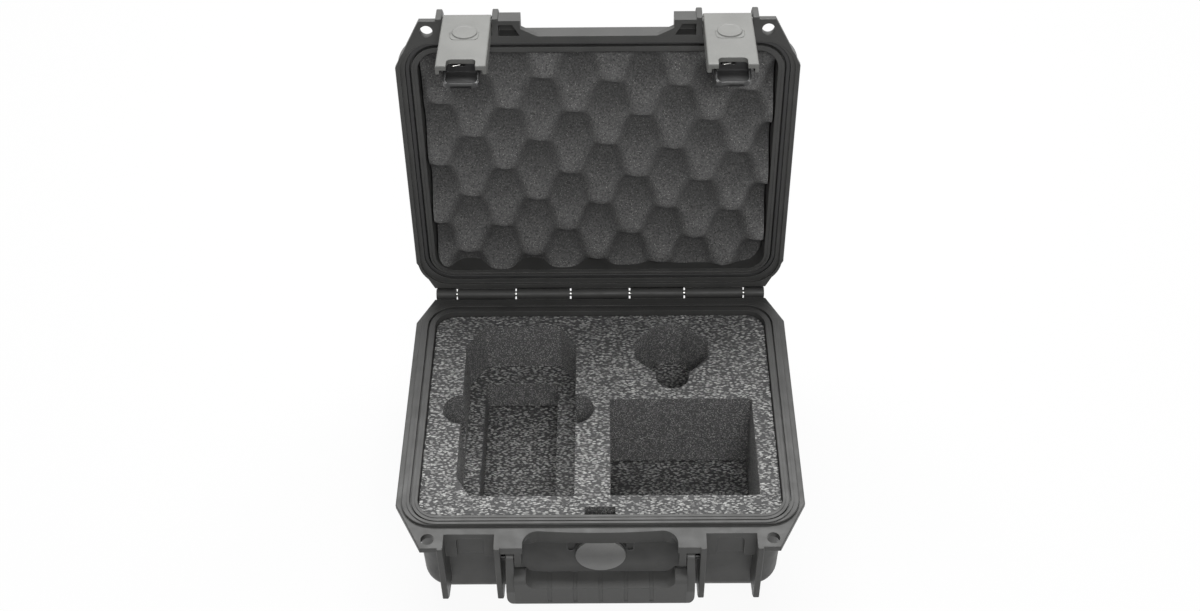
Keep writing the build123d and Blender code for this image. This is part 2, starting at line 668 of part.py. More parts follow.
def left_cut():
    """The deep cut-out for the recorder, with its two finger scoops."""
    x0, x1 = LEFT_CUT_START, LEFT_CUT_END
    back_x, back_y = LEFT_CUT_BACK_CHAMFER
    front_x, front_y = LEFT_CUT_FRONT_CHAMFER
    points = [
        (x0 + front_x, CUT_FRONT),
        (x1, CUT_FRONT),
        (x1, CUT_BACK - back_y),
        (x1 - back_x, CUT_BACK),
        (x0 + back_x, CUT_BACK),
        (x0, CUT_BACK - back_y),
        (x0, CUT_FRONT + front_y),
    ]
    body = prism(points, LOWER_TOP, FOAM_TOP + REACH)
    depth = SCOOP_DEPTH + REACH
    scoop = Cylinder(SCOOP_RADIUS, depth)
    for x in (x0, x1):
        body += Pos(x, SCOOP_Y, FOAM_TOP + REACH - depth / 2) * scoop
    return body


def pocket_cut():
    """The deeper pocket under the left cut-out."""
    x0 = LEFT_CUT_START + POCKET_LEFT_LEDGE
    x1 = LEFT_CUT_END - POCKET_RIGHT_LEDGE
    back = CUT_BACK - POCKET_BACK_LEDGE
    return block(x0, x1, CUT_FRONT, back, PAD_TOP - REACH, LOWER_TOP + REACH)


def right_cut():
    """The plain cut-out through both layers."""
    start = RIGHT_CUT_END - RIGHT_CUT_WIDTH
    back = CUT_FRONT + RIGHT_CUT_DEPTH
    return block(start, RIGHT_CUT_END, CUT_FRONT, back, PAD_TOP - REACH, FOAM_TOP + REACH)


def octagon_cut():
    """The eight-sided cut-out with a round one at its front."""
    cx = INNER_WIDTH / 2 - OCTAGON_FROM_RIGHT
    cy = INNER_DEPTH / 2 - OCTAGON_FROM_BACK
    depth = FOAM_TOP + REACH - LOWER_TOP
    body = Pos(cx, cy, LOWER_TOP + depth / 2) * Box(OCTAGON_WIDTH, OCTAGON_DEPTH, depth)
    body = chamfer(body.edges().filter_by(Axis.Z), OCTAGON_CHAMFER)
    y = cy - ROUND_CUT_FORWARD
    return body + Pos(cx, y, LOWER_TOP + depth / 2) * Cylinder(ROUND_CUT_RADIUS, depth)


def valve_notch():
    """The room in the layers for the nut of the valve."""
    back = WALL_Y + VALVE_NOTCH_DEPTH
    half = VALVE_NOTCH_WIDTH / 2
    low = min(LOWER_TOP, VALVE_Z - NUT_CORNER - VALVE_NOTCH_PLAY)
    return block(-half, half, WALL_Y - REACH, back, low, FOAM_TOP + REACH)


def base_foam_upper():
    body = foam_layer(LOWER_TOP, FOAM_TOP)
    return body - left_cut() - octagon_cut() - right_cut() - valve_notch()


def base_foam_lower():
    return foam_layer(PAD_TOP, LOWER_TOP) - pocket_cut() - right_cut() - valve_notch()


def base_foam_floor():
    return foam_layer(FLOOR_Z + FOAM_GAP, PAD_TOP)


def latch_loaf():
    """Outer form of a latch, before it is hollowed."""
    half = LATCH_WIDTH / 2
    back = LATCH_FACE + LATCH_CHEEK_DEPTH
    outline = [
        (LATCH_FACE, LATCH_LOW),
        (LATCH_FACE + LATCH_END_DEPTH, LATCH_LOW),
        (back, LATCH_LOW + LATCH_END_SLOPE),
        (back, LATCH_PIN_Z - LATCH_TOP_SLOPE),
        (LATCH_FACE + LATCH_ROLL, LATCH_PIN_Z),
        (LATCH_FACE, LATCH_PIN_Z),
    ]
    loaf = plate(outline, -half, half)
    front = loaf.edges().filter_by(Axis.Z).group_by(Axis.Y)[0]
    low = loaf.edges().group_by(Axis.Z)[0].sort_by(Axis.Y)[0]
    loaf = fillet(front + [low], LATCH_ROUND)
    roll = rod(-half, half, LATCH_PIN_Y, LATCH_PIN_Z, LATCH_ROLL)
    return loaf + fillet(roll.edges().filter_by(GeomType.CIRCLE), EDGE_ROUND)


def latch_closed():
    """A latch in the closed pose, middled on X."""
    half = LATCH_WIDTH / 2
    inside = half - LATCH_CHEEK
    back = LATCH_FACE + LATCH_CHEEK_DEPTH + REACH
    roof = LATCH_PIN_Z - LATCH_ROLL / 2
    body = latch_loaf()
    body -= block(-inside, inside, LATCH_FACE + LATCH_PLATE, back, LATCH_LOW - REACH, roof)
    notch = Pos(0, LATCH_LOW + NOTCH_DEPTH / 2) * Rectangle(NOTCH_WIDTH, NOTCH_DEPTH)
    notch = fillet(notch.vertices().group_by(Axis.Y)[-1], NOTCH_ROUND)
    cut = extrude(Plane.XZ * notch, amount=LATCH_PLATE + 2 * REACH, dir=(0, 1, 0))
    body -= Pos(0, LATCH_FACE - REACH, 0) * cut
    body += plug(LATCH_FACE - BOSS_HEIGHT, LATCH_FACE + REACH, BOSS_Z, BOSS_WIDTH)
    outer = RectangleRounded(U_LINE_WIDTH, U_LINE_WIDTH, U_LINE_ROUND)
    inner_width = U_LINE_WIDTH - 2 * U_LINE_GROOVE
    line = outer - RectangleRounded(inner_width, inner_width, U_LINE_ROUND - U_LINE_GROOVE)
    line -= Pos(0, U_LINE_WIDTH / 2) * Rectangle(U_LINE_WIDTH, U_LINE_WIDTH)
    groove = extrude(Plane.XZ * line, amount=U_LINE_DEPTH + REACH, dir=(0, 1, 0))
    body -= Pos(0, LATCH_FACE - REACH, BOSS_Z) * groove
    end = half + REACH
    body -= rod(-end, end, LATCH_PIN_Y, LATCH_PIN_Z, LATCH_PIN + 2 * RUNNING_PLAY)
    return body - rod(-end, end, TRIGGER_PIN_Y, TRIGGER_PIN_Z, TRIGGER_PIN + 2 * PRESS_PLAY)


def tray():
    """The finger scoop of a trigger, with its slanted opening."""
    front = LATCH_FACE + TRAY_FRONT
    lip = front + TRAY_DEPTH - TRAY_LIP
    rim_top = TRAY_TOP - TRIGGER_WALL
    face = Pos(0, (TRAY_LOW + TRAY_TOP) / 2) * Rectangle(TRAY_WIDTH, TRAY_HEIGHT)
    face = fillet(face.vertices().group_by(Axis.Y)[0], TRAY_ROUND)
    inside = offset(face, amount=-TRIGGER_WALL)
    outer = Pos(0, front, 0) * extrude(Plane.XZ * face, amount=TRAY_DEPTH, dir=(0, 1, 0))
    hollow = extrude(Plane.XZ * inside, amount=TRAY_DEPTH, dir=(0, 1, 0))
    body = outer - Pos(0, front - TRIGGER_WALL, 0) * hollow
    opening = [
        (front - REACH, rim_top),
        (front, rim_top),
        (lip, TRAY_LOW),
        (lip, TRAY_LOW - REACH),
        (front - REACH, TRAY_LOW - REACH),
    ]
    return body - plate(opening, -TRAY_WIDTH, TRAY_WIDTH)


def trigger_closed():
    """A trigger with its scoop and hook, in the closed pose, middled on X."""
    half = TRIGGER_WIDTH / 2
    neck_half = TRAY_WIDTH / 2
    back = LATCH_FACE + TRAY_FRONT + TRAY_DEPTH
    arm_back = BAND_Y - HOOK_ARM_PLAY
    arm_front = arm_back - HOOK_ARM
    hook_top = BAND_LOW - HALVES_GAP
    hub = rod(-half, half, TRIGGER_PIN_Y, TRIGGER_PIN_Z, TRIGGER_HUB)
    neck = block(-neck_half, neck_half, TRIGGER_PIN_Y, back, TRAY_TOP - TRIGGER_WALL, TRIGGER_PIN_Z)
    arm = block(-neck_half, neck_half, arm_front, arm_back, TRIGGER_PIN_Z, hook_top)
    tip = BAND_Y + HOOK_BITE
    outline = [
        (arm_front, hook_top - HOOK_HEIGHT),
        (tip, hook_top - HOOK_HEIGHT),
        (tip, hook_top - HOOK_RAMP_DROP),
        (tip - HOOK_RAMP, hook_top),
        (arm_front, hook_top),
    ]
    hook = plate(outline, -half, half)
    body = tray() + hub + neck + arm + hook
    room = SPRING_LENGTH / 2 + SPRING_PLAY
    x0, x1 = -SPRING_LEFT_OF_MIDDLE - room, -SPRING_LEFT_OF_MIDDLE + room
    hub_top = TRIGGER_PIN_Z + TRIGGER_HUB / 2
    body -= rod(x0, x1, TRIGGER_PIN_Y, TRIGGER_PIN_Z, SPRING_OUTSIDE + 2 * SPRING_PLAY)
    body -= block(x0, x1, LATCH_FACE, TRIGGER_PIN_Y, TRAY_TOP - TRIGGER_WALL, hub_top)
    end = half + REACH
    return body - rod(-end, end, TRIGGER_PIN_Y, TRIGGER_PIN_Z, TRIGGER_PIN + 2 * RUNNING_PLAY)


def trigger_pin_closed():
    half = LATCH_WIDTH / 2 - PIN_INSET
    return rod(-half, half, TRIGGER_PIN_Y, TRIGGER_PIN_Z, TRIGGER_PIN)


def spring_closed():
    """The torsion spring on the trigger pin, with the leg that shows in the notch."""
    half = SPRING_LENGTH / 2
    coil = rod(-half, half, TRIGGER_PIN_Y, TRIGGER_PIN_Z, SPRING_OUTSIDE)
    coil -= rod(-half - REACH, half + REACH, TRIGGER_PIN_Y, TRIGGER_PIN_Z, SPRING_INSIDE)
    x = -half + SPRING_WIRE / 2 + SPRING_LEG_INSET
    y = TRIGGER_PIN_Y - (SPRING_OUTSIDE - SPRING_WIRE) / 2 + SPRING_LEG_INSET
    low = TRIGGER_PIN_Z - SPRING_LEG
    start = (x, y, TRIGGER_PIN_Z)
    path = FilletPolyline(start, (x, y, low), (x + SPRING_TAIL, y, low), radius=SPRING_BEND)
    leg = sweep(Plane(start, z_dir=(0, 0, -1)) * Circle(SPRING_WIRE / 2), path=path)
    return Pos(-SPRING_LEFT_OF_MIDDLE, 0, 0) * (coil + leg)


def latch_pins_closed():
    start = FIN_INNER + PIN_INSET
    return both_sides(rod(start, FIN_END - PIN_INSET, LATCH_PIN_Y, LATCH_PIN_Z, LATCH_PIN))


def handle_section(z1):
    """Section of the handle across its length, in Y and Z."""
    middle = Pos((GRIP_FRONT_Y + GRIP_BACK_Y) / 2, (GRIP_LOW + z1) / 2)
    return middle * RectangleRounded(GRIP_THICKNESS, z1 - GRIP_LOW, GRIP_ROUND)


def handle_corners():
    """What the rounding takes off the two lower corners of the handle."""
    x = ARM_START + ARM_THICKNESS - HANDLE_CORNER
    z = GRIP_LOW + HANDLE_CORNER
    side = HANDLE_CORNER + REACH
    face = Pos(x + side / 2, z - side / 2) * Rectangle(side, side) - Pos(x, z) * Circle(HANDLE_CORNER)
    cut = extrude(Plane.XZ * face, amount=GRIP_THICKNESS + 2 * REACH, dir=(0, 1, 0))
    return both_sides(Pos(0, GRIP_FRONT_Y - REACH, 0) * cut)


def handle_frame():
    """Hard frame: two arms and the bar inside the grip."""
    side = Pos(HANDLE_PIN_Y, HANDLE_PIN_Z) * Circle(ARM_END_ROUND)
    outline = make_hull(side.edges() + handle_section(GRIP_TOP).edges())
    arm = extrude(Plane.YZ * outline, amount=ARM_THICKNESS, dir=(1, 0, 0))
    arm = fillet(arm.edges().group_by(Axis.X)[-1], EDGE_ROUND)
    body = both_sides(Pos(ARM_START, 0, 0) * arm)
    inset = GRIP_CORE_INSET
    end = ARM_START + REACH
    front, back = GRIP_FRONT_Y + inset, GRIP_BACK_Y - inset
    body += block(-end, end, front, back, GRIP_LOW + inset, GRIP_TOP - inset)
    end += ARM_THICKNESS
    body -= handle_corners()
    return body - rod(-end, end, HANDLE_PIN_Y, HANDLE_PIN_Z, HANDLE_PIN + 2 * RUNNING_PLAY)


def handle_grip():
    """Rubber grip moulded round the bar, with shallow channels."""
    top = GRIP_TOP + GRIP_SHOULDER
    face = Pos(0, (GRIP_LOW + top) / 2) * Rectangle(2 * ARM_START, top - GRIP_LOW)
    opening_half = ARM_START - GRIP_SHOULDER_WIDTH
    opening = Pos(0, top) * Rectangle(2 * opening_half, 2 * GRIP_SHOULDER)
    opening = fillet(opening.vertices().group_by(Axis.Y)[0], GRIP_OPENING_CORNER)
    profile = Plane.XZ * (face - opening)
    front = Pos(0, GRIP_FRONT_Y, 0) * extrude(profile, amount=GRIP_THICKNESS, dir=(0, 1, 0))
    along = extrude(Plane.YZ * handle_section(top), amount=ARM_START, both=True)
    body = front & along
    half = CHANNEL_WIDTH / 2
    low, high = GRIP_LOW + CHANNEL_LOW, GRIP_TOP + REACH
    outside = GRIP_FRONT_Y - REACH
    for index in range(CHANNEL_COUNT):
        x = (index - (CHANNEL_COUNT - 1) / 2) * CHANNEL_PITCH
        body -= block(x - half, x + half, outside, GRIP_FRONT_Y + CHANNEL_DEPTH, low, high)
        body -= block(x - half, x + half, outside, GRIP_BACK_Y, GRIP_TOP - CHANNEL_DEPTH, high)
    return body - handle_corners() - handle_frame()


def handle_pins():
    start, stop = EAR_START + PIN_INSET, BAY_START - PIN_INSET
    return both_sides(rod(start, stop, HANDLE_PIN_Y, HANDLE_PIN_Z, HANDLE_PIN))


def on_front(piece):
    """Place a round valve piece, drawn along Z, on the front wall."""
    return Pos(0, VALVE_FACE_Y, VALVE_Z) * piece.rotate(Axis.X, 90)


def disc(diameter, z0, z1):
    """A round disc along Z."""
    return Pos(0, 0, (z0 + z1) / 2) * Cylinder(diameter / 2, z1 - z0)


def valve_cap():
    """Domed cap that covers the flange of the valve."""
    radius = VALVE_CAP / 2
    rise = VALVE_CAP_HEIGHT - VALVE_CAP_EDGE
    dome = (radius * radius + rise * rise) / (2 * rise)
    top = VALVE_SEAL + VALVE_CAP_HEIGHT
    body = disc(VALVE_CAP, VALVE_SEAL, top) & (Pos(0, 0, top - dome) * Sphere(dome))
    room = disc(VALVE_FLANGE, VALVE_SEAL - REACH, VALVE_SEAL + VALVE_FLANGE_THICKNESS)
    return on_front(body - room)


def valve_body():
    """Vent body with its flange outside and its stem through the wall."""
    inner_end = VALVE_SEAL - VALVE_STEM_LENGTH
    body = disc(VALVE_FLANGE, VALVE_SEAL, VALVE_SEAL + VALVE_FLANGE_THICKNESS)
    body += disc(VALVE_STEM, inner_end, VALVE_SEAL)
    return on_front(body - disc(VALVE_BORE, inner_end - REACH, 0))


def valve_seal():
    """Seal ring under the flange of the vent body."""
    inner = VALVE_FLANGE - 2 * VALVE_SEAL_WIDTH
    return on_front(disc(VALVE_FLANGE, 0, VALVE_SEAL) - disc(inner, -REACH, VALVE_SEAL + REACH))


def valve_nut():
    """Nut that draws the vent body against the wall from inside."""
    start = VALVE_FACE_Y - VALVE_PAD_Y
    face = RegularPolygon(NUT_ACROSS_FLATS / 2, 6, major_radius=False)
    body = Pos(0, 0, start - NUT_THICKNESS) * extrude(face, amount=NUT_THICKNESS)
    hole = disc(VALVE_STEM + 2 * PRESS_PLAY, start - NUT_THICKNESS - REACH, start + REACH)
    return on_front(body - hole)


def valve_membrane():
    """The vent disc at the end of the bore."""
    return on_front(disc(VALVE_BORE - 2 * PRESS_PLAY, -MEMBRANE_THICKNESS, 0))


def opened(piece):
    """Turn a closed-pose piece of the lid to the open rest pose."""
    return piece.rotate(HINGE_AXIS, -LID_OPEN)


def save(piece, name):
    export_step(piece, f"parts/{name}.step")


def main():
    save(base_shell(), "base_shell")
    save(base_foam_upper(), "base_foam_upper")
    save(base_foam_lower(), "base_foam_lower")
    save(base_foam_floor(), "base_foam_floor")
    save(rod(-HINGE_PIN_END, HINGE_PIN_END, HINGE_Y, HINGE_Z, HINGE_PIN), "hinge_pin")
    save(handle_pins(), "handle_pins")
    save(handle_frame(), "handle_frame")
    save(handle_grip(), "handle_grip")
    save(valve_cap(), "valve_cap")
    save(valve_body(), "valve_body")
    save(valve_seal(), "valve_seal")
    save(valve_nut(), "valve_nut")
    save(valve_membrane(), "valve_membrane")
    save(opened(lid_closed()), "lid_shell")
    save(opened(gasket_closed()), "lid_gasket")
    save(opened(lid_foam_closed()), "lid_foam")
    save(opened(latch_pins_closed()), "latch_pins")
    for side, x in (("left", -BAY_CENTRE), ("right", BAY_CENTRE)):
        place = Pos(x, 0, 0)
        save(opened(place * latch_closed()), f"latch_{side}")
        save(opened(place * trigger_closed()), f"trigger_{side}")
        save(opened(place * trigger_pin_closed()), f"trigger_pin_{side}")
        save(opened(place * spring_closed()), f"trigger_spring_{side}")


main()
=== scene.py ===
import math
import bmesh
import bpy
from mathutils import Matrix, Vector, noise


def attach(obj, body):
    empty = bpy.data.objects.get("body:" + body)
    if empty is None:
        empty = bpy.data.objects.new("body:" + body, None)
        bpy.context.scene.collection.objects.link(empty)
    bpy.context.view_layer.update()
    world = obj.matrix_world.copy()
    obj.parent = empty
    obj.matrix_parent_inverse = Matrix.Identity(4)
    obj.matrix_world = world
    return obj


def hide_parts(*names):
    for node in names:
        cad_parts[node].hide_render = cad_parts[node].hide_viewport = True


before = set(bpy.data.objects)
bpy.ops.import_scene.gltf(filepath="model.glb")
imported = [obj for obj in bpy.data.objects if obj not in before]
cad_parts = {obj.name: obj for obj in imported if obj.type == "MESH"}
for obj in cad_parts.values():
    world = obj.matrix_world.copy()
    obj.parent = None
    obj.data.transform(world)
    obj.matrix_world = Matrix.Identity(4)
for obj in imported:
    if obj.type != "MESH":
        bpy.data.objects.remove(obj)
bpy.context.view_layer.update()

# Lengths are in metres, in the frame of the part: X right, Y back to the hinge, Z up.
# Pieces of the lid are drawn closed and then turned about the hinge to the open rest pose.
HINGE = Vector((0.0, 0.114, 0.08615))
LID_OPEN = math.radians(95.2)
SIDES = (("left", -0.0855), ("right", 0.0855))

# The picture, and the camera that took it
PICTURE_WIDTH = 1200
SENSOR_WIDTH = 36.0
FOCAL_PIXELS = 1533.5
CAMERA_PLACE = Vector((0.007048, -0.699041, 0.901516))
CAMERA_HEADING = math.radians(0.514)
CAMERA_TILT = math.radians(44.363)
CAMERA_ROLL = math.radians(-0.709)
CAMERA_SHIFT_Y = 0.0022
CAMERA_NEAR = 0.01

# Closest points that are joined, in copies and in new pieces, and the angle of a sharp edge
MERGE_DISTANCE = 2e-6
WELD_DISTANCE = 1e-6
SHARP_EDGE = math.radians(32)

# Foam in the base: fineness of each layer's mesh, how far its walls stand back, and its surface
BASE_LAYERS = (
    ("base_foam_upper", 8, 0.0001),
    ("base_foam_lower", 7, 0.0006),
    ("base_foam_floor", 7, 0.0002),
)
REMESH_FILL = 0.95
FOAM_LUMP = 0.0042
FOAM_LUMP_HEIGHT = 0.00028
FOAM_CELL = 0.0019
FOAM_CELL_HEIGHT = 0.00022
WALL_NORMAL = 0.6

# Foam in the lid, closed pose: block, peaks, the small lumps of its skin, and its shading
LID_FOAM_WIDTH = 0.2392
LID_FOAM_DEPTH = 0.1852
LID_FOAM_CORNER = 0.013
LID_FOAM_CORNER_CUTS = 4
LID_FOAM_BACK = 0.1140
LID_FOAM_VALLEY = 0.1035
LID_FOAM_CREST = 0.0880
PEAK_PITCH_X = 0.0465
PEAK_PITCH_Y = 0.0512
PEAK_SHIFT = 0.02715
PEAK_SKEW = math.radians(4.4)
PEAK_FLATNESS = 1.25
PEAK_SAG = 0.5
PEAK_DROP = -0.0020
PEAK_WANDER = 0.0011
PEAK_WANDER_SIZE = 0.03
SKIN_LUMPS = ((0.004, 0.00022), (0.0017, 0.00012))
LID_FOAM_STEP = 0.0012
LID_FOAM_SHARP = math.radians(60)
LID_FOAM_WALL_NORMAL = 0.3

# Latches and triggers, closed pose
LATCH_FACE = -0.1186
TRAY_LOW = 0.0245
TRAY_WIDTH = 0.0230
TRAY_DEEP_END = 0.0125
TRAY_ROUND = 0.0050
TRAY_ROUND_CUTS = 5
TRAY_STEPS_ACROSS = 92
TRAY_STEPS_UP = 50
TRAY_FLOOR_Y = -0.1073
TRAY_BACK_Y = -0.1058
LIP_HEIGHT = 0.0017
LIP_RAMP = 0.0042
LIP_HUMP = 0.0026
LIP_HUMP_WIDTH = 0.0036
LIP_EDGE = 0.0007
LINING_LIFT = 0.0001
TRIGGER_PIN_Y = -0.1115
TRIGGER_PIN_Z = 0.0470
SPRING_WIRE = 0.0008
SPRING_RADIUS = 0.0026
SPRING_LENGTH = 0.0080
SPRING_LEFT = 0.0026
SPRING_TURNS = 7
SPRING_STEPS = 14
SPRING_SIDES = 10
SPRING_BEND = 0.0010
SPRING_BEND_STEPS = 8
SPRING_LEG = 0.0096
SPRING_TAIL = 0.0040
SPRING_TAIL_RISE = math.radians(20)

# The disc on each latch: radius and height of its outline, from the middle outwards
LATCH_DISC_Z = 0.0710
LATCH_DISC = ((0.0, 0.00062), (0.0050, 0.00066), (0.0068, 0.00074), (0.0072, 0.00086),
              (0.0076, 0.00088), (0.0080, 0.00070), (0.0083, 0.00030), (0.0084, -0.0002))
DISC_STEPS = 72

# The two small loops on the front wall beside the valve, whose near-black plastic is painted shade
LOOP_X = 0.01985
LOOP_RADIUS = 0.00235
LOOP_LOW = 0.0525
LOOP_TOP = 0.0770
LOOP_LINE = 0.0009
LOOP_RISE = 0.0008
LOOP_STEPS = 16
FRONT_WALL_Y = -0.0962
FRONT_WALL_LEAN = math.tan(math.radians(1.5))
FLANGE_Z = 0.0860

# Colours
CASE_GREY = (0.068, 0.068, 0.066)
LATCH_GREY = (0.152, 0.153, 0.145)
TRIGGER_BLACK = (0.036, 0.036, 0.036)
HANDLE_GREY = (0.062, 0.062, 0.060)
GRIP_GREY = (0.075, 0.075, 0.073)
SEAL_BLACK = (0.035, 0.035, 0.035)
VALVE_GREY = (0.28, 0.28, 0.275)
BRIGHT_STEEL = (0.62, 0.62, 0.60)
BLACKENED_STEEL = (0.03, 0.03, 0.03)
SPRING_STEEL = (0.72, 0.71, 0.68)
# Base foam faces: painted shade in the cell gaps and painted highlights on the cell backs
FOAM_PAINTED_GAP_SHADE = (0.022, 0.022, 0.0225, 1.0)
FOAM_PAINTED_GLINT = (0.66, 0.66, 0.645, 1.0)
CUT_DARK = (0.105, 0.105, 0.107, 1.0)
# Cut walls of the base foam: a plain lighter tone, with painted glints in its speckle
CUT_PAINTED_GLINT = (0.88, 0.87, 0.84, 1.0)
LID_PORE = (0.034, 0.034, 0.035, 1.0)
LID_STRAND = (0.30, 0.298, 0.294, 1.0)
LID_HAZE = (0.105, 0.105, 0.104, 1.0)
LID_SPARK = (0.75, 0.73, 0.70, 1.0)
# Painted shade for the hollows of the lid foam
LID_PAINTED_HOLLOW_SHADE = (0.022, 0.022, 0.022, 1.0)
WEAVE_DARK = (0.62, 0.62, 0.60, 1.0)
WEAVE_LIGHT = (0.82, 0.82, 0.80, 1.0)
WHITE = (1.0, 1.0, 1.0, 1.0)
PAPER = (0.80, 0.80, 0.80, 1.0)

# Sizes of the patterns in the finishes
PLASTIC_CLOUD = 0.022
PLASTIC_SMEAR = 0.009
RUBBER_CLOUD = 0.013
RUBBER_PORE = 0.0006
RUBBER_EDGE = 0.0005
STEEL_LINE = 0.006
STEEL_STAIN = 0.004
FOAM_SWAY = 0.028
FOAM_CURL = 0.00150
FOAM_CURL_WARP = (0.0021, 0.0013)
FOAM_GRIT = 0.0005
CUT_SPECK = 0.00085
CUT_SPECK_WARP = (0.0015, 0.0006)
LID_PORE_SIZE = 0.0013
LID_CLOUD = 0.016
LID_SPARK_SIZE = 0.0009
WEAVE_SIZE = 0.0003

# The studio: half the floor's width, how white and how matt the floor is, the light of the
# room, and for each softbox its place, what it looks at, its size and its power
FLOOR_REACH = 4.0
PAPER_GLOW = 0.93
PAPER_ROUGHNESS = 0.9
ROOM_LIGHT = 0.08
SOFTBOXES = (
    ("softbox_back", (0.0, 0.74, 1.42), (0.0, -0.10, 0.08), (1.3, 0.6), 30.0),
    ("softbox_front", (0.16, -1.18, 1.34), (0.0, 0.06, 0.15), (0.6, 0.4), 11.0),
)


def opened():
    """The turn about the hinge from the closed pose to the open rest pose."""
    to_hinge = Matrix.Translation(HINGE)
    return to_hinge @ Matrix.Rotation(-LID_OPEN, 4, "X") @ to_hinge.inverted()


class Finish:
    """A material that is built one node at a time, on Object coordinates."""

    def __init__(self, name, roughness=0.5, specular=0.5, metallic=0.0):
        self.material = bpy.data.materials.new(name)
        self.material.use_nodes = True
        self.tree = self.material.node_tree
        self.surface = self.tree.nodes["Principled BSDF"]
        self.surface.inputs["Roughness"].default_value = roughness
        self.surface.inputs["Specular IOR Level"].default_value = specular
        self.surface.inputs["Metallic"].default_value = metallic
        self.place = self.node("ShaderNodeTexCoord").outputs["Object"]

    def node(self, kind, sockets=None, **settings):
        made = self.tree.nodes.new(kind)
        for name, value in settings.items():
            setattr(made, name, value)
        for name, value in (sockets or {}).items():
            self.feed(made.inputs[name], value)
        return made

    def feed(self, socket, value):
        if isinstance(value, bpy.types.NodeSocket):
            self.tree.links.new(value, socket)
        else:
            socket.default_value = value

    def math(self, operation, a, b=0.0):
        made = self.tree.nodes.new("ShaderNodeMath")
        made.operation = operation
        self.feed(made.inputs[0], a)
        self.feed(made.inputs[1], b)
        return made.outputs[0]

    def turned(self, angle, stretch, place=None):
        """Coordinates turned about Z and stretched, for a pattern with a grain."""
        sockets = {"Vector": place or self.place, "Rotation": (0.0, 0.0, angle), "Scale": stretch}
        return self.node("ShaderNodeMapping", sockets).outputs["Vector"]

    def noise(self, size, detail=3.0, rough=0.5, place=None):
        """Cloudy noise whose blotches are about size across."""
        sockets = {"Vector": place or self.place, "Scale": 1.0 / size, "Detail": detail,
                   "Roughness": rough}
        return self.node("ShaderNodeTexNoise", sockets).outputs["Fac"]

    def warped(self, size, amount, place=None):
        """Coordinates pushed about by noise, so that cells lose their regular shape."""
        source = place or self.place
        wobble = self.node("ShaderNodeTexNoise",
                           {"Vector": source, "Scale": 1.0 / size, "Detail": 2.0})
        centred = self.node("ShaderNodeVectorMath",
                            {0: wobble.outputs["Color"], 1: (0.5, 0.5, 0.5)}, operation="SUBTRACT")
        scaled = self.node("ShaderNodeVectorMath",
                           {0: centred.outputs[0], "Scale": amount}, operation="SCALE")
        moved = self.node("ShaderNodeVectorMath",
                          {0: source, 1: scaled.outputs[0]}, operation="ADD")
        return moved.outputs[0]

    def cells(self, size, place=None):
        """Rounded cells about size across: the dome of each cell, and a random value for each."""
        sockets = {"Vector": place or self.place, "Scale": 1.0 / size}
        made = self.node("ShaderNodeTexVoronoi", sockets)
        dome = self.span(made.outputs["Distance"], 0.0, 0.75, 1.0, 0.0)
        tint = self.node("ShaderNodeSeparateColor", {0: made.outputs["Color"]}).outputs[0]
        return dome, tint

    def span(self, value, start, stop, low, high):
        """The value taken from one range to another, held at its ends."""
        sockets = {"Value": value, "From Min": start, "From Max": stop,
                   "To Min": low, "To Max": high}
        return self.node("ShaderNodeMapRange", sockets).outputs[0]

    def blend(self, share, first, second):
        """A colour between two colours."""
        made = self.node("ShaderNodeMix", data_type="RGBA")
        self.feed(made.inputs[0], share)
        self.feed(made.inputs[6], first)
        self.feed(made.inputs[7], second)
        return made.outputs[2]

    def attribute(self, name):
        return self.node("ShaderNodeAttribute", attribute_name=name).outputs["Fac"]

    def bump(self, height, depth, normal=None):
        sockets = {"Height": height, "Distance": depth, "Strength": 1.0}
        if normal:
            sockets["Normal"] = normal
        return self.node("ShaderNodeBump", sockets).outputs["Normal"]

    def finished(self, colour, normal=None, roughness=None):
        self.feed(self.surface.inputs["Base Color"], colour)
        if normal:
            self.feed(self.surface.inputs["Normal"], normal)
        if roughness:
            self.feed(self.surface.inputs["Roughness"], roughness)
        return self.material


def shade(colour, factor):
    """A colour made lighter or darker."""
    return tuple(min(1.0, channel * factor) for channel in colour[:3]) + (1.0,)


def moulded(name, colour, rough=(0.36, 0.50), grain=0.0007, grain_depth=0.000018, wear_and_highlight=0.35,
            edge=0.0004, specular=0.5):
    """Moulded plastic: cloudy tone, fine grain, softened edges that are lighter, partly as wear and
    partly as painted highlight.
    """
    make = Finish(name, specular=specular)
    cloud = make.noise(PLASTIC_CLOUD, 4.0)
    fleck = make.noise(grain, 3.0, 0.6)
    rounded = make.node("ShaderNodeBevel", {"Radius": edge}, samples=4).outputs["Normal"]
    flat = make.node("ShaderNodeNewGeometry").outputs["Normal"]
    bend = make.node("ShaderNodeVectorMath", {0: rounded, 1: flat}, operation="DOT_PRODUCT")
    # Lighter edges: partly wear, partly a painted highlight where the rounded edges would catch the
    # light
    worn_and_highlit = make.math("MULTIPLY", make.span(bend.outputs["Value"], 0.995, 0.80, 0.0, wear_and_highlight),
                     make.span(cloud, 0.35, 0.6, 0.5, 1.0))
    tone = make.blend(make.span(cloud, 0.32, 0.68, 0.0, 1.0),
                      shade(colour, 0.90), shade(colour, 1.12))
    tone = make.blend(make.span(fleck, 0.30, 0.75, 0.0, 0.35), tone, shade(colour, 1.35))
    tone = make.blend(worn_and_highlit, tone, shade(colour, 2.6))
    smear = make.noise(PLASTIC_SMEAR, 3.0)
    roughness = make.span(smear, 0.3, 0.7, rough[0], rough[1])
    normal = make.bump(fleck, grain_depth, rounded)
    return make.finished(tone, normal, roughness)


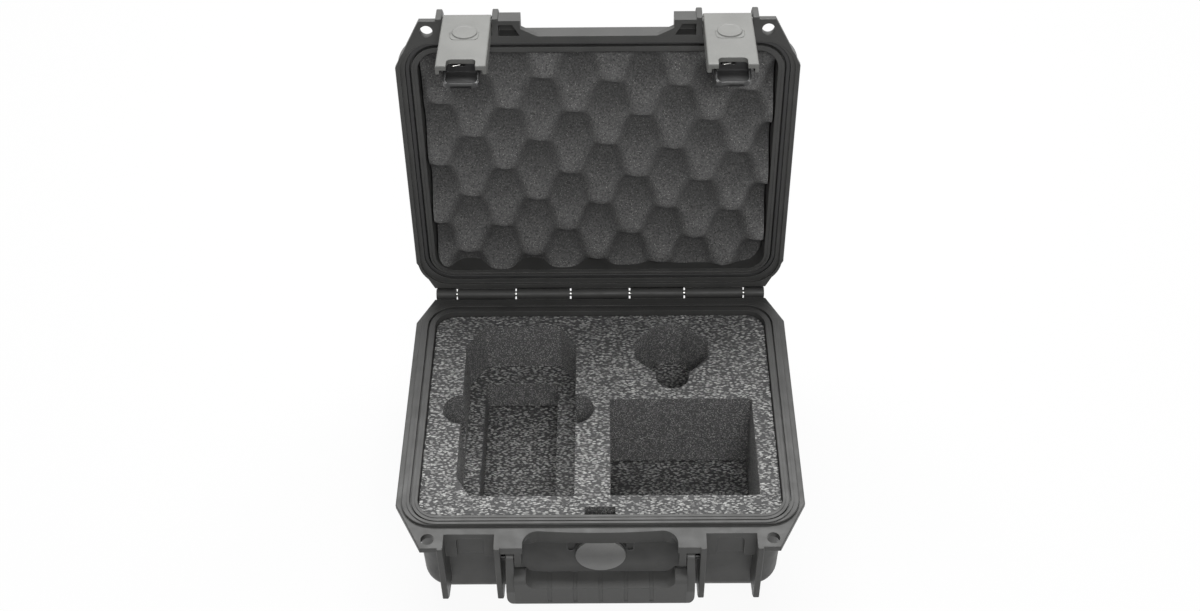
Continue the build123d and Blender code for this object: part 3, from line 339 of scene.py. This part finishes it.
def rubbery(name, colour, rough=0.62):
    """Matt rubber: soft tone, fine pores and a dusty bloom."""
    make = Finish(name, specular=0.4)
    cloud = make.noise(RUBBER_CLOUD, 4.0)
    pores = make.noise(RUBBER_PORE, 3.0, 0.65)
    rounded = make.node("ShaderNodeBevel", {"Radius": RUBBER_EDGE}, samples=4).outputs["Normal"]
    tone = make.blend(make.span(cloud, 0.3, 0.7, 0.0, 1.0),
                      shade(colour, 0.88), shade(colour, 1.15))
    tone = make.blend(make.span(pores, 0.35, 0.75, 0.0, 0.3), tone, shade(colour, 1.6))
    roughness = make.span(cloud, 0.3, 0.7, rough - 0.06, rough + 0.06)
    return make.finished(tone, make.bump(pores, 0.00003, rounded), roughness)


def steel(name, colour, along=(1.0, 60.0, 60.0)):
    """Ground or drawn steel, with fine lines along the axis that is stretched least, here X."""
    make = Finish(name, metallic=1.0)
    lines = make.noise(STEEL_LINE, 3.0, 0.6, make.turned(0.0, along))
    stain = make.noise(STEEL_STAIN, 3.0)
    tone = make.blend(make.span(stain, 0.35, 0.7, 0.0, 1.0),
                      shade(colour, 1.0), shade(colour, 0.72))
    roughness = make.span(lines, 0.3, 0.7, 0.24, 0.38)
    return make.finished(tone, make.bump(lines, 0.00001), roughness)


def cut_foam():
    """Closed-cell foam: curled cells on the faces with painted highlights on their backs and
    painted shade in their gaps, and a finer speckle with painted glints on cut walls.
    """
    make = Finish("closed_cell_foam", specular=1.0)
    wall = make.attribute("cut_wall")
    sway = make.span(make.noise(FOAM_SWAY, 2.0), 0.42, 0.58, 0.0, 1.0)
    domes, tints = [], []
    for angle in (math.radians(40), math.radians(-25)):
        grain = make.turned(angle, (0.55, 1.20, 1.0), make.warped(*FOAM_CURL_WARP))
        dome, tint = make.cells(FOAM_CURL, grain)
        domes.append(dome)
        tints.append(tint)
    first = make.math("MULTIPLY", domes[0], sway)
    second = make.math("MULTIPLY", domes[1], make.math("SUBTRACT", 1.0, sway))
    dome = make.math("ADD", first, second)
    fine = make.noise(FOAM_GRIT, 3.0, 0.6)
    face = make.math("ADD", dome, make.math("MULTIPLY", fine, 0.35))
    speck, speck_tint = make.cells(CUT_SPECK, make.warped(*CUT_SPECK_WARP))
    cut = make.math("ADD", make.math("MULTIPLY", speck, 0.5), make.math("MULTIPLY", fine, 0.5))
    # Painted light on the faces: each cell's back is painted as a bright highlight, its gap as dark
    # shade
    painted_glint_share = make.math("MULTIPLY", make.span(dome, 0.24, 0.62, 0.0, 1.0),
                    make.span(tints[0], 0.1, 0.9, 0.38, 1.0))
    # Painted glints in the speckle of the cut walls
    painted_speck_glint = make.math("MULTIPLY", make.span(speck, 0.25, 0.7, 0.0, 1.0),
                      make.span(speck_tint, 0.3, 0.95, 0.0, 1.0))
    tone = make.blend(wall, make.blend(painted_glint_share, FOAM_PAINTED_GAP_SHADE, FOAM_PAINTED_GLINT),
                      make.blend(painted_speck_glint, CUT_DARK, CUT_PAINTED_GLINT))
    height = make.math("ADD", make.math("MULTIPLY", face, make.span(wall, 0.0, 1.0, 1.0, 0.0)),
                       make.math("MULTIPLY", make.math("MULTIPLY", cut, 0.6), wall))
    roughness = make.span(dome, 0.3, 0.75, 0.70, 0.30)
    return make.finished(tone, make.bump(height, 0.0012), roughness)


def open_foam():
    """Open-cell charcoal foam: fine pores with a few bright specks, and painted shade down in the
    hollows.
    """
    make = Finish("open_cell_foam", specular=0.25, roughness=0.9)
    pores = make.noise(LID_PORE_SIZE, 5.0, 0.8)
    cloud = make.noise(LID_CLOUD, 3.0)
    spark, tint = make.cells(LID_SPARK_SIZE)
    bright = make.math("MULTIPLY", make.span(spark, 0.50, 0.9, 0.0, 1.0),
                       make.span(tint, 0.72, 0.92, 0.0, 1.0))
    tone = make.blend(make.span(pores, 0.32, 0.68, 0.0, 1.0), LID_PORE, LID_STRAND)
    tone = make.blend(make.span(cloud, 0.35, 0.65, 0.0, 0.25), tone, LID_HAZE)
    tone = make.blend(bright, tone, LID_SPARK)
    # Painted shade: the foam's colour is darkened down in the hollows between the peaks
    tone = make.blend(make.span(make.attribute("hollow"), 0.15, 0.95, 0.0, 0.50), tone, LID_PAINTED_HOLLOW_SHADE)
    return make.finished(tone, make.bump(pores, 0.0006))


def membrane():
    """Pale woven vent disc."""
    make = Finish("vent_weave", roughness=0.8)
    weave = make.noise(WEAVE_SIZE, 2.0, 0.5, make.turned(0.0, (1.0, 1.0, 3.0)))
    tone = make.blend(make.span(weave, 0.35, 0.65, 0.0, 1.0), WEAVE_DARK, WEAVE_LIGHT)
    return make.finished(tone, make.bump(weave, 0.00005))


def placed(name, mesh, material, body, nodes=()):
    """Put a finished mesh in the scene, on its body, for the nodes it stands for."""
    piece = bpy.data.objects.new(name, mesh)
    bpy.context.scene.collection.objects.link(piece)
    mesh.materials.clear()
    mesh.materials.append(material)
    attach(piece, body)
    if nodes:
        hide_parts(*nodes)
    return piece


def to_mesh(bm, name):
    mesh = bpy.data.meshes.new(name)
    bm.to_mesh(mesh)
    bm.free()
    return mesh


def merged(node):
    """A copy of a node's loose triangles, joined at their corners."""
    bm = bmesh.new()
    bm.from_mesh(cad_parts[node].data)
    bmesh.ops.remove_doubles(bm, verts=bm.verts, dist=MERGE_DISTANCE)
    bmesh.ops.dissolve_degenerate(bm, dist=MERGE_DISTANCE, edges=bm.edges)
    return bm


def smooth_but_sharp(bm):
    """Smooth faces that stay apart where the surface turns sharply."""
    for face in bm.faces:
        face.smooth = True
    for edge in bm.edges:
        edge.smooth = edge.is_manifold and edge.calc_face_angle(0.0) < SHARP_EDGE


def dressed(node, body, material):
    """A hard node with clean shading, under its own finish."""
    bm = merged(node)
    smooth_but_sharp(bm)
    piece = placed(node + "_dressed", to_mesh(bm, node + "_dressed"), material, body, (node,))
    even = piece.modifiers.new("even_normals", "WEIGHTED_NORMAL")
    even.keep_sharp = True
    even.weight = 100
    return piece


def remeshed(bm, name, depth):
    """The closed form of a mesh as even small faces, with its sharp edges kept."""
    rough = bpy.data.objects.new(name + "_rough", to_mesh(bm, name + "_rough"))
    bpy.context.scene.collection.objects.link(rough)
    cast = rough.modifiers.new("cast", "REMESH")
    cast.mode = "SHARP"
    cast.octree_depth = depth
    cast.scale = REMESH_FILL
    cast.use_remove_disconnected = False
    finished = rough.evaluated_get(bpy.context.evaluated_depsgraph_get())
    mesh = bpy.data.meshes.new_from_object(finished)
    mesh.name = name
    bpy.data.objects.remove(rough)
    return mesh


def mark_walls(mesh):
    """Note 1 on each point of an upright cut wall, and 0 on all others."""
    notes = mesh.attributes.new("cut_wall", "FLOAT", "POINT")
    for point, note in zip(mesh.vertices, notes.data):
        note.value = 1.0 if abs(point.normal.z) < WALL_NORMAL else 0.0


def roughened(mesh, inset):
    """Push the points of a foam layer in and out like torn cells, and its walls back a little."""
    normals = [point.normal.copy() for point in mesh.vertices]
    for point, normal in zip(mesh.vertices, normals):
        lump = noise.noise(point.co / FOAM_LUMP) * FOAM_LUMP_HEIGHT
        cell = noise.noise(point.co / FOAM_CELL) * FOAM_CELL_HEIGHT
        if abs(normal.z) < WALL_NORMAL:
            point.co += normal * (0.5 * (lump + cell) - inset)
        elif normal.z > 0:
            point.co += normal * (lump + cell - FOAM_CELL_HEIGHT)


def base_foam(node, depth, inset, material):
    """One layer of the base foam, with its rough surface."""
    mesh = remeshed(merged(node), node + "_cells", depth)
    mark_walls(mesh)
    roughened(mesh, inset)
    mesh.shade_smooth()
    piece = placed(node + "_cells", mesh, material, "base", (node,))


def peak_height(x, y):
    """How far the lid foam stands up at a point, from 0 in a valley to 1 on a peak."""
    u = x * math.cos(PEAK_SKEW) + y * math.sin(PEAK_SKEW)
    v = -x * math.sin(PEAK_SKEW) + y * math.cos(PEAK_SKEW)
    u += PEAK_WANDER * noise.noise(Vector((x, y, 0.0)) / PEAK_WANDER_SIZE)
    v += PEAK_WANDER * noise.noise(Vector((x, y, 0.5)) / PEAK_WANDER_SIZE)
    across = math.cos(2 * math.pi * (u - PEAK_SHIFT) / PEAK_PITCH_X)
    along = 2 * math.pi * (v - PEAK_DROP) / PEAK_PITCH_Y
    wave = across * math.cos(along - PEAK_SAG * across * math.cos(along))
    return 0.5 + 0.5 * math.tanh(PEAK_FLATNESS * wave) / math.tanh(PEAK_FLATNESS)


def trim_corners(bm, half_x, half_y, radius, cuts):
    """Cut the four corners of a flat grid to a round."""
    for index in range(cuts):
        angle = math.radians(90 * (index + 0.5) / cuts)
        for way_x in (-1, 1):
            for way_y in (-1, 1):
                normal = Vector((way_x * math.cos(angle), way_y * math.sin(angle), 0.0))
                centre = Vector((way_x * (half_x - radius), way_y * (half_y - radius), 0.0))
                geometry = bm.verts[:] + bm.edges[:] + bm.faces[:]
                bmesh.ops.bisect_plane(bm, geom=geometry, plane_co=centre + normal * radius,
                                       plane_no=normal, clear_outer=True)


def close_back(bm, z):
    """Give a sheet its side walls down to a level, and a back."""
    rim = [edge for edge in bm.edges if edge.is_boundary]
    walls = bmesh.ops.extrude_edge_only(bm, edges=rim)
    for item in walls["geom"]:
        if isinstance(item, bmesh.types.BMVert):
            item.co.z = z
    back = [edge for edge in bm.edges if edge.is_boundary]
    bmesh.ops.edgeloop_fill(bm, edges=back)
    bmesh.ops.recalc_face_normals(bm, faces=bm.faces)


def lid_foam(material):
    """Convoluted foam: rows of peaks with steep lower sides, on a backing."""
    bm = bmesh.new()
    half_x, half_y = LID_FOAM_WIDTH / 2, LID_FOAM_DEPTH / 2
    steps_x = round(LID_FOAM_WIDTH / LID_FOAM_STEP)
    steps_y = round(LID_FOAM_DEPTH / LID_FOAM_STEP)
    bmesh.ops.create_grid(bm, x_segments=steps_x, y_segments=steps_y, size=0.5)
    bmesh.ops.scale(bm, vec=(LID_FOAM_WIDTH, LID_FOAM_DEPTH, 1.0), verts=bm.verts)
    trim_corners(bm, half_x, half_y, LID_FOAM_CORNER, LID_FOAM_CORNER_CUTS)
    rise = LID_FOAM_VALLEY - LID_FOAM_CREST
    hollow = bm.verts.layers.float.new("hollow")
    for vert in bm.verts:
        x, y = vert.co.x, vert.co.y
        lump = sum(height * noise.noise(vert.co / size) for size, height in SKIN_LUMPS)
        height = peak_height(x, y)
        vert[hollow] = 1.0 - height
        vert.co.z = LID_FOAM_VALLEY - rise * height + lump
    close_back(bm, LID_FOAM_BACK)
    for face in bm.faces:
        face.smooth = abs(face.normal.z) > LID_FOAM_WALL_NORMAL
    for edge in bm.edges:
        edge.smooth = edge.calc_face_angle(0.0) < LID_FOAM_SHARP
    bm.transform(opened())
    mesh = to_mesh(bm, "lid_foam_peaks")
    piece = placed("lid_foam_peaks", mesh, material, "lid", ("lid_foam",))


def lip_rise(u, v):
    """How far a trigger's scoop rises from its floor. u is across, v up from the free end."""
    ramp = LIP_RAMP + LIP_HUMP * math.exp(-((u / LIP_HUMP_WIDTH) ** 2))
    share = max(0.0, 1.0 - v / ramp)
    slope = share * share * (3 - 2 * share)
    corner = Vector((max(0.0, abs(u) - (TRAY_WIDTH / 2 - TRAY_ROUND)), max(0.0, TRAY_ROUND - v)))
    inside = min(TRAY_WIDTH / 2 - abs(u), v)
    if corner.x > 0 and corner.y > 0:
        inside = min(inside, TRAY_ROUND - corner.length)
    near = min(1.0, max(0.0, inside) / LIP_EDGE)
    return LIP_HEIGHT * slope * math.sqrt(1.0 - (1.0 - near) ** 2)


def scoop_lining(side, x, material):
    """The hollow of a trigger, which runs up to its wavy thumb lip."""
    bm = bmesh.new()
    bmesh.ops.create_grid(bm, x_segments=TRAY_STEPS_ACROSS, y_segments=TRAY_STEPS_UP, size=0.5)
    bmesh.ops.scale(bm, vec=(TRAY_WIDTH, TRAY_DEEP_END, 1.0), verts=bm.verts)
    trim_corners(bm, TRAY_WIDTH / 2, TRAY_DEEP_END / 2, TRAY_ROUND, TRAY_ROUND_CUTS)
    for vert in bm.verts:
        vert.co.z = LINING_LIFT + lip_rise(vert.co.x, vert.co.y + TRAY_DEEP_END / 2)
    close_back(bm, TRAY_FLOOR_Y - TRAY_BACK_Y)
    smooth_but_sharp(bm)
    middle = (x, TRAY_FLOOR_Y, TRAY_LOW + TRAY_DEEP_END / 2)
    bm.transform(opened() @ Matrix.Translation(middle) @ Matrix.Rotation(math.pi / 2, 4, "X"))
    name = "scoop_lining_" + side
    placed(name, to_mesh(bm, name), material, side + "_trigger")


def latch_disc(side, x, material):
    """The dished disc on the face of a latch, turned from its outline."""
    bm = bmesh.new()
    points = [bm.verts.new((radius, 0.0, height)) for radius, height in LATCH_DISC]
    line = [bm.edges.new(pair) for pair in zip(points[:-1], points[1:])]
    bmesh.ops.spin(bm, geom=points + line, cent=(0, 0, 0), axis=(0, 0, 1), angle=2 * math.pi,
                   steps=DISC_STEPS, use_merge=True)
    bmesh.ops.remove_doubles(bm, verts=bm.verts, dist=WELD_DISTANCE)
    bmesh.ops.edgeloop_fill(bm, edges=[edge for edge in bm.edges if edge.is_boundary])
    bmesh.ops.recalc_face_normals(bm, faces=bm.faces)
    smooth_but_sharp(bm)
    stand = Matrix.Translation((x, LATCH_FACE, LATCH_DISC_Z)) @ Matrix.Rotation(math.pi / 2, 4, "X")
    bm.transform(opened() @ stand)
    name = "latch_disc_" + side
    placed(name, to_mesh(bm, name), material, side + "_latch")


def wall_loop(side, way, material):
    """A small raised loop on the front wall beside the valve: an arc below, and two legs."""
    bm = bmesh.new()
    bmesh.ops.create_grid(bm, x_segments=1, y_segments=1, size=LOOP_LINE / 2)
    bmesh.ops.translate(bm, verts=bm.verts, vec=(LOOP_RADIUS, 0.0, 0.0))
    arc = bmesh.ops.spin(bm, geom=bm.faces[:], cent=(0, 0, 0), axis=(0, 1, 0), angle=math.pi,
                         steps=LOOP_STEPS)
    ends = [item for item in arc["geom_last"] if isinstance(item, bmesh.types.BMFace)]
    for face in bm.faces:
        middle = face.calc_center_median()
        level = abs(face.normal.z) > 0.9 and abs(middle.z) < WELD_DISTANCE
        if face not in ends and level and middle.x > LOOP_RADIUS * 0.99:
            ends.append(face)
    legs = bmesh.ops.extrude_discrete_faces(bm, faces=ends)["faces"]
    rise = LOOP_TOP - LOOP_LOW - LOOP_RADIUS
    for leg in legs:
        bmesh.ops.translate(bm, verts=leg.verts, vec=(0.0, 0.0, rise))
    bmesh.ops.remove_doubles(bm, verts=bm.verts, dist=WELD_DISTANCE)
    bmesh.ops.recalc_face_normals(bm, faces=bm.faces)
    for vert in bm.verts:
        z = vert.co.z + LOOP_LOW + LOOP_RADIUS
        wall = FRONT_WALL_Y + (FLANGE_Z - z) * FRONT_WALL_LEAN
        y = vert.co.y * 2 * LOOP_RISE / LOOP_LINE + wall
        vert.co = Vector((vert.co.x + way * LOOP_X, y, z))
    smooth_but_sharp(bm)
    name = "wall_loop_" + side
    placed(name, to_mesh(bm, name), material, "base")


def wound_spring(side, x, material):
    """Torsion spring on the trigger pin, with the leg whose end shows in the notch."""
    bm = bmesh.new()
    ring = bmesh.ops.create_circle(bm, cap_ends=True, segments=SPRING_SIDES, radius=SPRING_WIRE / 2)
    start_x = SPRING_LENGTH / 2 - SPRING_WIRE / 2
    bmesh.ops.translate(bm, verts=ring["verts"], vec=(start_x, -SPRING_RADIUS, 0.0))
    steps = SPRING_STEPS * SPRING_TURNS
    pitch = (SPRING_LENGTH - SPRING_WIRE) / steps
    coil = bmesh.ops.spin(bm, geom=bm.faces[:], cent=(0, 0, 0), axis=(1, 0, 0), dvec=(-pitch, 0, 0),
                          angle=2 * math.pi * SPRING_TURNS, steps=steps)
    end = [item for item in coil["geom_last"] if isinstance(item, bmesh.types.BMFace)]
    leg = bmesh.ops.extrude_discrete_faces(bm, faces=end)["faces"]
    bmesh.ops.translate(bm, verts=leg[0].verts, vec=(0, 0, SPRING_BEND - SPRING_LEG))
    corner = leg[0].calc_center_median() + Vector((SPRING_BEND, 0, 0))
    turn = bmesh.ops.spin(bm, geom=[leg[0]], cent=corner, axis=(0, 1, 0),
                          angle=-(math.pi / 2 + SPRING_TAIL_RISE), steps=SPRING_BEND_STEPS)
    end = [item for item in turn["geom_last"] if isinstance(item, bmesh.types.BMFace)]
    tail = bmesh.ops.extrude_discrete_faces(bm, faces=end)["faces"]
    way = Vector((math.cos(SPRING_TAIL_RISE), 0, math.sin(SPRING_TAIL_RISE)))
    bmesh.ops.translate(bm, verts=tail[0].verts, vec=way * SPRING_TAIL)
    bmesh.ops.remove_doubles(bm, verts=bm.verts, dist=WELD_DISTANCE)
    bmesh.ops.recalc_face_normals(bm, faces=bm.faces)
    smooth_but_sharp(bm)
    bm.transform(opened() @ Matrix.Translation((x - SPRING_LEFT, TRIGGER_PIN_Y, TRIGGER_PIN_Z)))
    node = "trigger_spring_" + side
    mesh = to_mesh(bm, node + "_coil")
    placed(node + "_coil", mesh, material, side + "_trigger", (node,))


def studio():
    """Camera, floor, softboxes and the white surroundings."""
    scene = bpy.context.scene
    scene.view_settings.view_transform = "Standard"
    lens = bpy.data.cameras.new("camera")
    lens.sensor_width = SENSOR_WIDTH
    lens.lens = FOCAL_PIXELS / PICTURE_WIDTH * SENSOR_WIDTH
    lens.shift_y = CAMERA_SHIFT_Y
    lens.clip_start = CAMERA_NEAR
    camera = bpy.data.objects.new("camera", lens)
    turn = Matrix.Rotation(CAMERA_HEADING, 4, "Z") @ Matrix.Rotation(CAMERA_TILT, 4, "X")
    roll = Matrix.Rotation(CAMERA_ROLL, 4, "Z")
    camera.matrix_world = Matrix.Translation(CAMERA_PLACE) @ turn @ roll
    scene.collection.objects.link(camera)
    scene.camera = camera

    bm = bmesh.new()
    bmesh.ops.create_grid(bm, x_segments=1, y_segments=1, size=FLOOR_REACH)
    floor = bpy.data.objects.new("studio_floor", to_mesh(bm, "studio_floor"))
    scene.collection.objects.link(floor)
    floor.data.materials.append(floor_paper())

    for values in SOFTBOXES:
        softbox(*values)
    surroundings()


def softbox(name, place, aim, size, power):
    """A rectangular lamp at a place, turned to what it lights."""
    lamp = bpy.data.lights.new(name, "AREA")
    lamp.shape = "RECTANGLE"
    lamp.size, lamp.size_y = size
    lamp.energy = power
    box = bpy.data.objects.new(name, lamp)
    place = Vector(place)
    look = (Vector(aim) - place).to_track_quat("-Z", "Y").to_matrix().to_4x4()
    box.matrix_world = Matrix.Translation(place) @ look
    bpy.context.scene.collection.objects.link(box)


def seen_directly(tree):
    """One for rays from the camera and for reflections and glass, else zero."""
    path = tree.nodes.new("ShaderNodeLightPath")
    total = path.outputs["Is Camera Ray"]
    for kind in ("Is Glossy Ray", "Is Transmission Ray"):
        both = tree.nodes.new("ShaderNodeMath")
        both.operation = "MAXIMUM"
        tree.links.new(total, both.inputs[0])
        tree.links.new(path.outputs[kind], both.inputs[1])
        total = both.outputs[0]
    return total


def floor_paper():
    """White paper that stays white to the eye and keeps the object's shadow."""
    material = bpy.data.materials.new("studio_paper")
    material.use_nodes = True
    tree = material.node_tree
    paper = tree.nodes["Principled BSDF"]
    paper.inputs["Base Color"].default_value = PAPER
    paper.inputs["Roughness"].default_value = PAPER_ROUGHNESS
    glow = tree.nodes.new("ShaderNodeEmission")
    glow.inputs["Color"].default_value = WHITE
    glow.inputs["Strength"].default_value = 1.0
    share = tree.nodes.new("ShaderNodeMath")
    share.operation = "MULTIPLY"
    share.inputs[1].default_value = PAPER_GLOW
    tree.links.new(seen_directly(tree), share.inputs[0])
    mix = tree.nodes.new("ShaderNodeMixShader")
    tree.links.new(share.outputs[0], mix.inputs[0])
    tree.links.new(paper.outputs[0], mix.inputs[1])
    tree.links.new(glow.outputs[0], mix.inputs[2])
    tree.links.new(mix.outputs[0], tree.nodes["Material Output"].inputs["Surface"])
    return material


def surroundings():
    """White to the eye and in reflections, softer as a light."""
    world = bpy.data.worlds.new("white_room")
    bpy.context.scene.world = world
    world.use_nodes = True
    tree = world.node_tree
    light = tree.nodes["Background"]
    light.inputs["Color"].default_value = WHITE
    light.inputs["Strength"].default_value = ROOM_LIGHT
    white = tree.nodes.new("ShaderNodeBackground")
    white.inputs["Color"].default_value = WHITE
    white.inputs["Strength"].default_value = 1.0
    mix = tree.nodes.new("ShaderNodeMixShader")
    tree.links.new(seen_directly(tree), mix.inputs[0])
    tree.links.new(light.outputs[0], mix.inputs[1])
    tree.links.new(white.outputs[0], mix.inputs[2])
    tree.links.new(mix.outputs[0], tree.nodes["World Output"].inputs["Surface"])


def hard_pieces():
    """Every hard node under its finish, with the small pieces that lie on them."""
    # The lighter edges of the case and the triggers are partly wear and partly painted highlight
    shell = moulded("case_plastic", CASE_GREY, rough=(0.38, 0.52), wear_and_highlight=0.75, edge=0.0005,
                    specular=0.24)
    latch = moulded("latch_plastic", LATCH_GREY, rough=(0.42, 0.54), grain=0.0009, wear_and_highlight=0.2)
    trigger = moulded("trigger_plastic", TRIGGER_BLACK, rough=(0.28, 0.40), wear_and_highlight=0.8, edge=0.0006)
    frame_plastic = moulded("handle_plastic", HANDLE_GREY)
    grip = rubbery("grip_rubber", GRIP_GREY)
    seal = rubbery("seal_rubber", SEAL_BLACK, 0.5)
    valve = moulded("valve_plastic", VALVE_GREY, rough=(0.4, 0.5), edge=0.0006)
    pin = steel("pin_steel", BRIGHT_STEEL)
    dark_pin = steel("pin_blackened", BLACKENED_STEEL)
    spring = steel("spring_steel", SPRING_STEEL, along=(20.0, 1.0, 20.0))
    dressed("base_shell", "base", shell)
    dressed("lid_shell", "lid", shell)
    dressed("lid_gasket", "lid", seal)
    dressed("hinge_pin", "base", pin)
    dressed("handle_pins", "base", dark_pin)
    dressed("latch_pins", "lid", pin)
    dressed("handle_frame", "handle", frame_plastic)
    dressed("handle_grip", "handle", grip)
    for node in ("valve_cap", "valve_body", "valve_nut"):
        dressed(node, "base", valve)
    dressed("valve_seal", "base", seal)
    dressed("valve_membrane", "base", membrane())
    for side, x in SIDES:
        dressed("latch_" + side, side + "_latch", latch)
        dressed("trigger_pin_" + side, side + "_latch", pin)
        dressed("trigger_" + side, side + "_trigger", trigger)
        scoop_lining(side, x, trigger)
        latch_disc(side, x, latch)
        # The loops take the near-black trigger plastic, darker than the case wall: painted shade of
        # a groove line
        wall_loop(side, math.copysign(1.0, x), trigger)
        wound_spring(side, x, spring)


def soft_pieces():
    """The foam in the base and in the lid."""
    closed_cell = cut_foam()
    for node, depth, inset in BASE_LAYERS:
        base_foam(node, depth, inset, closed_cell)
    lid_foam(open_foam())


studio()
hard_pieces()
soft_pieces()
